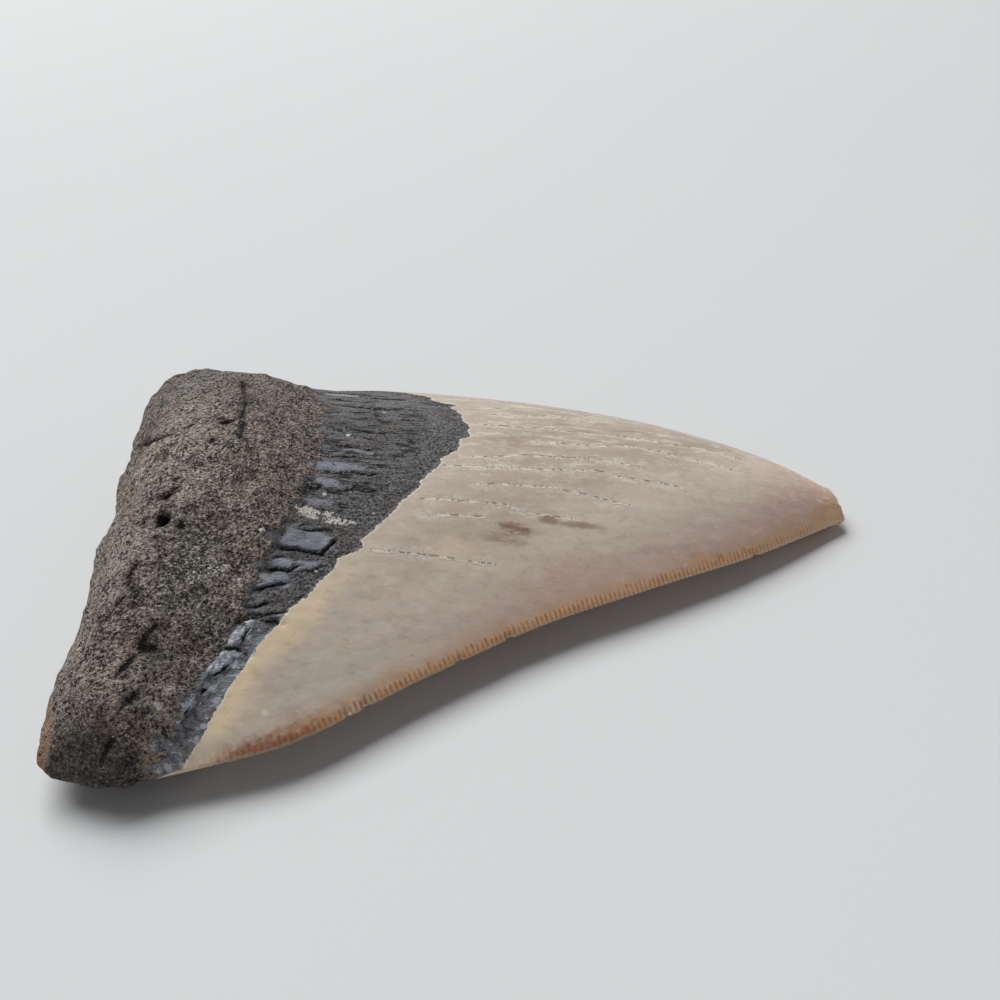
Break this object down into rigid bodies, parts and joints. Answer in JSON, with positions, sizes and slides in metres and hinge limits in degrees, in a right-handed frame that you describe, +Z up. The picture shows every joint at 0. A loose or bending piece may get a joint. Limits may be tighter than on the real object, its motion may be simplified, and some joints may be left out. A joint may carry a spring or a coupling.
{
  "type": "megalodon tooth",
  "caption": "Fossil megalodon tooth lying on its flat side, with a serrated enamel crown, a dark bourlette and a rough lobed root.",
  "frame": {"origin": "bottom centre of the whole tooth, on the surface that it lies on", "axes": "+X from the root towards the tip, +Y from the cutting edge nearer the viewer towards the other one, +Z up, away from the flat lip-side face"},
  "size_m": [0.1246, 0.0974, 0.0258],
  "materials": {
    "fossil": "satin tan and grey enamel on the crown, dark slate bourlette, rough brown-grey fossil bone on the root"
  },
  "bodies": {
    "root": {"tooth": "fossil"}
  },
  "joints": []
}
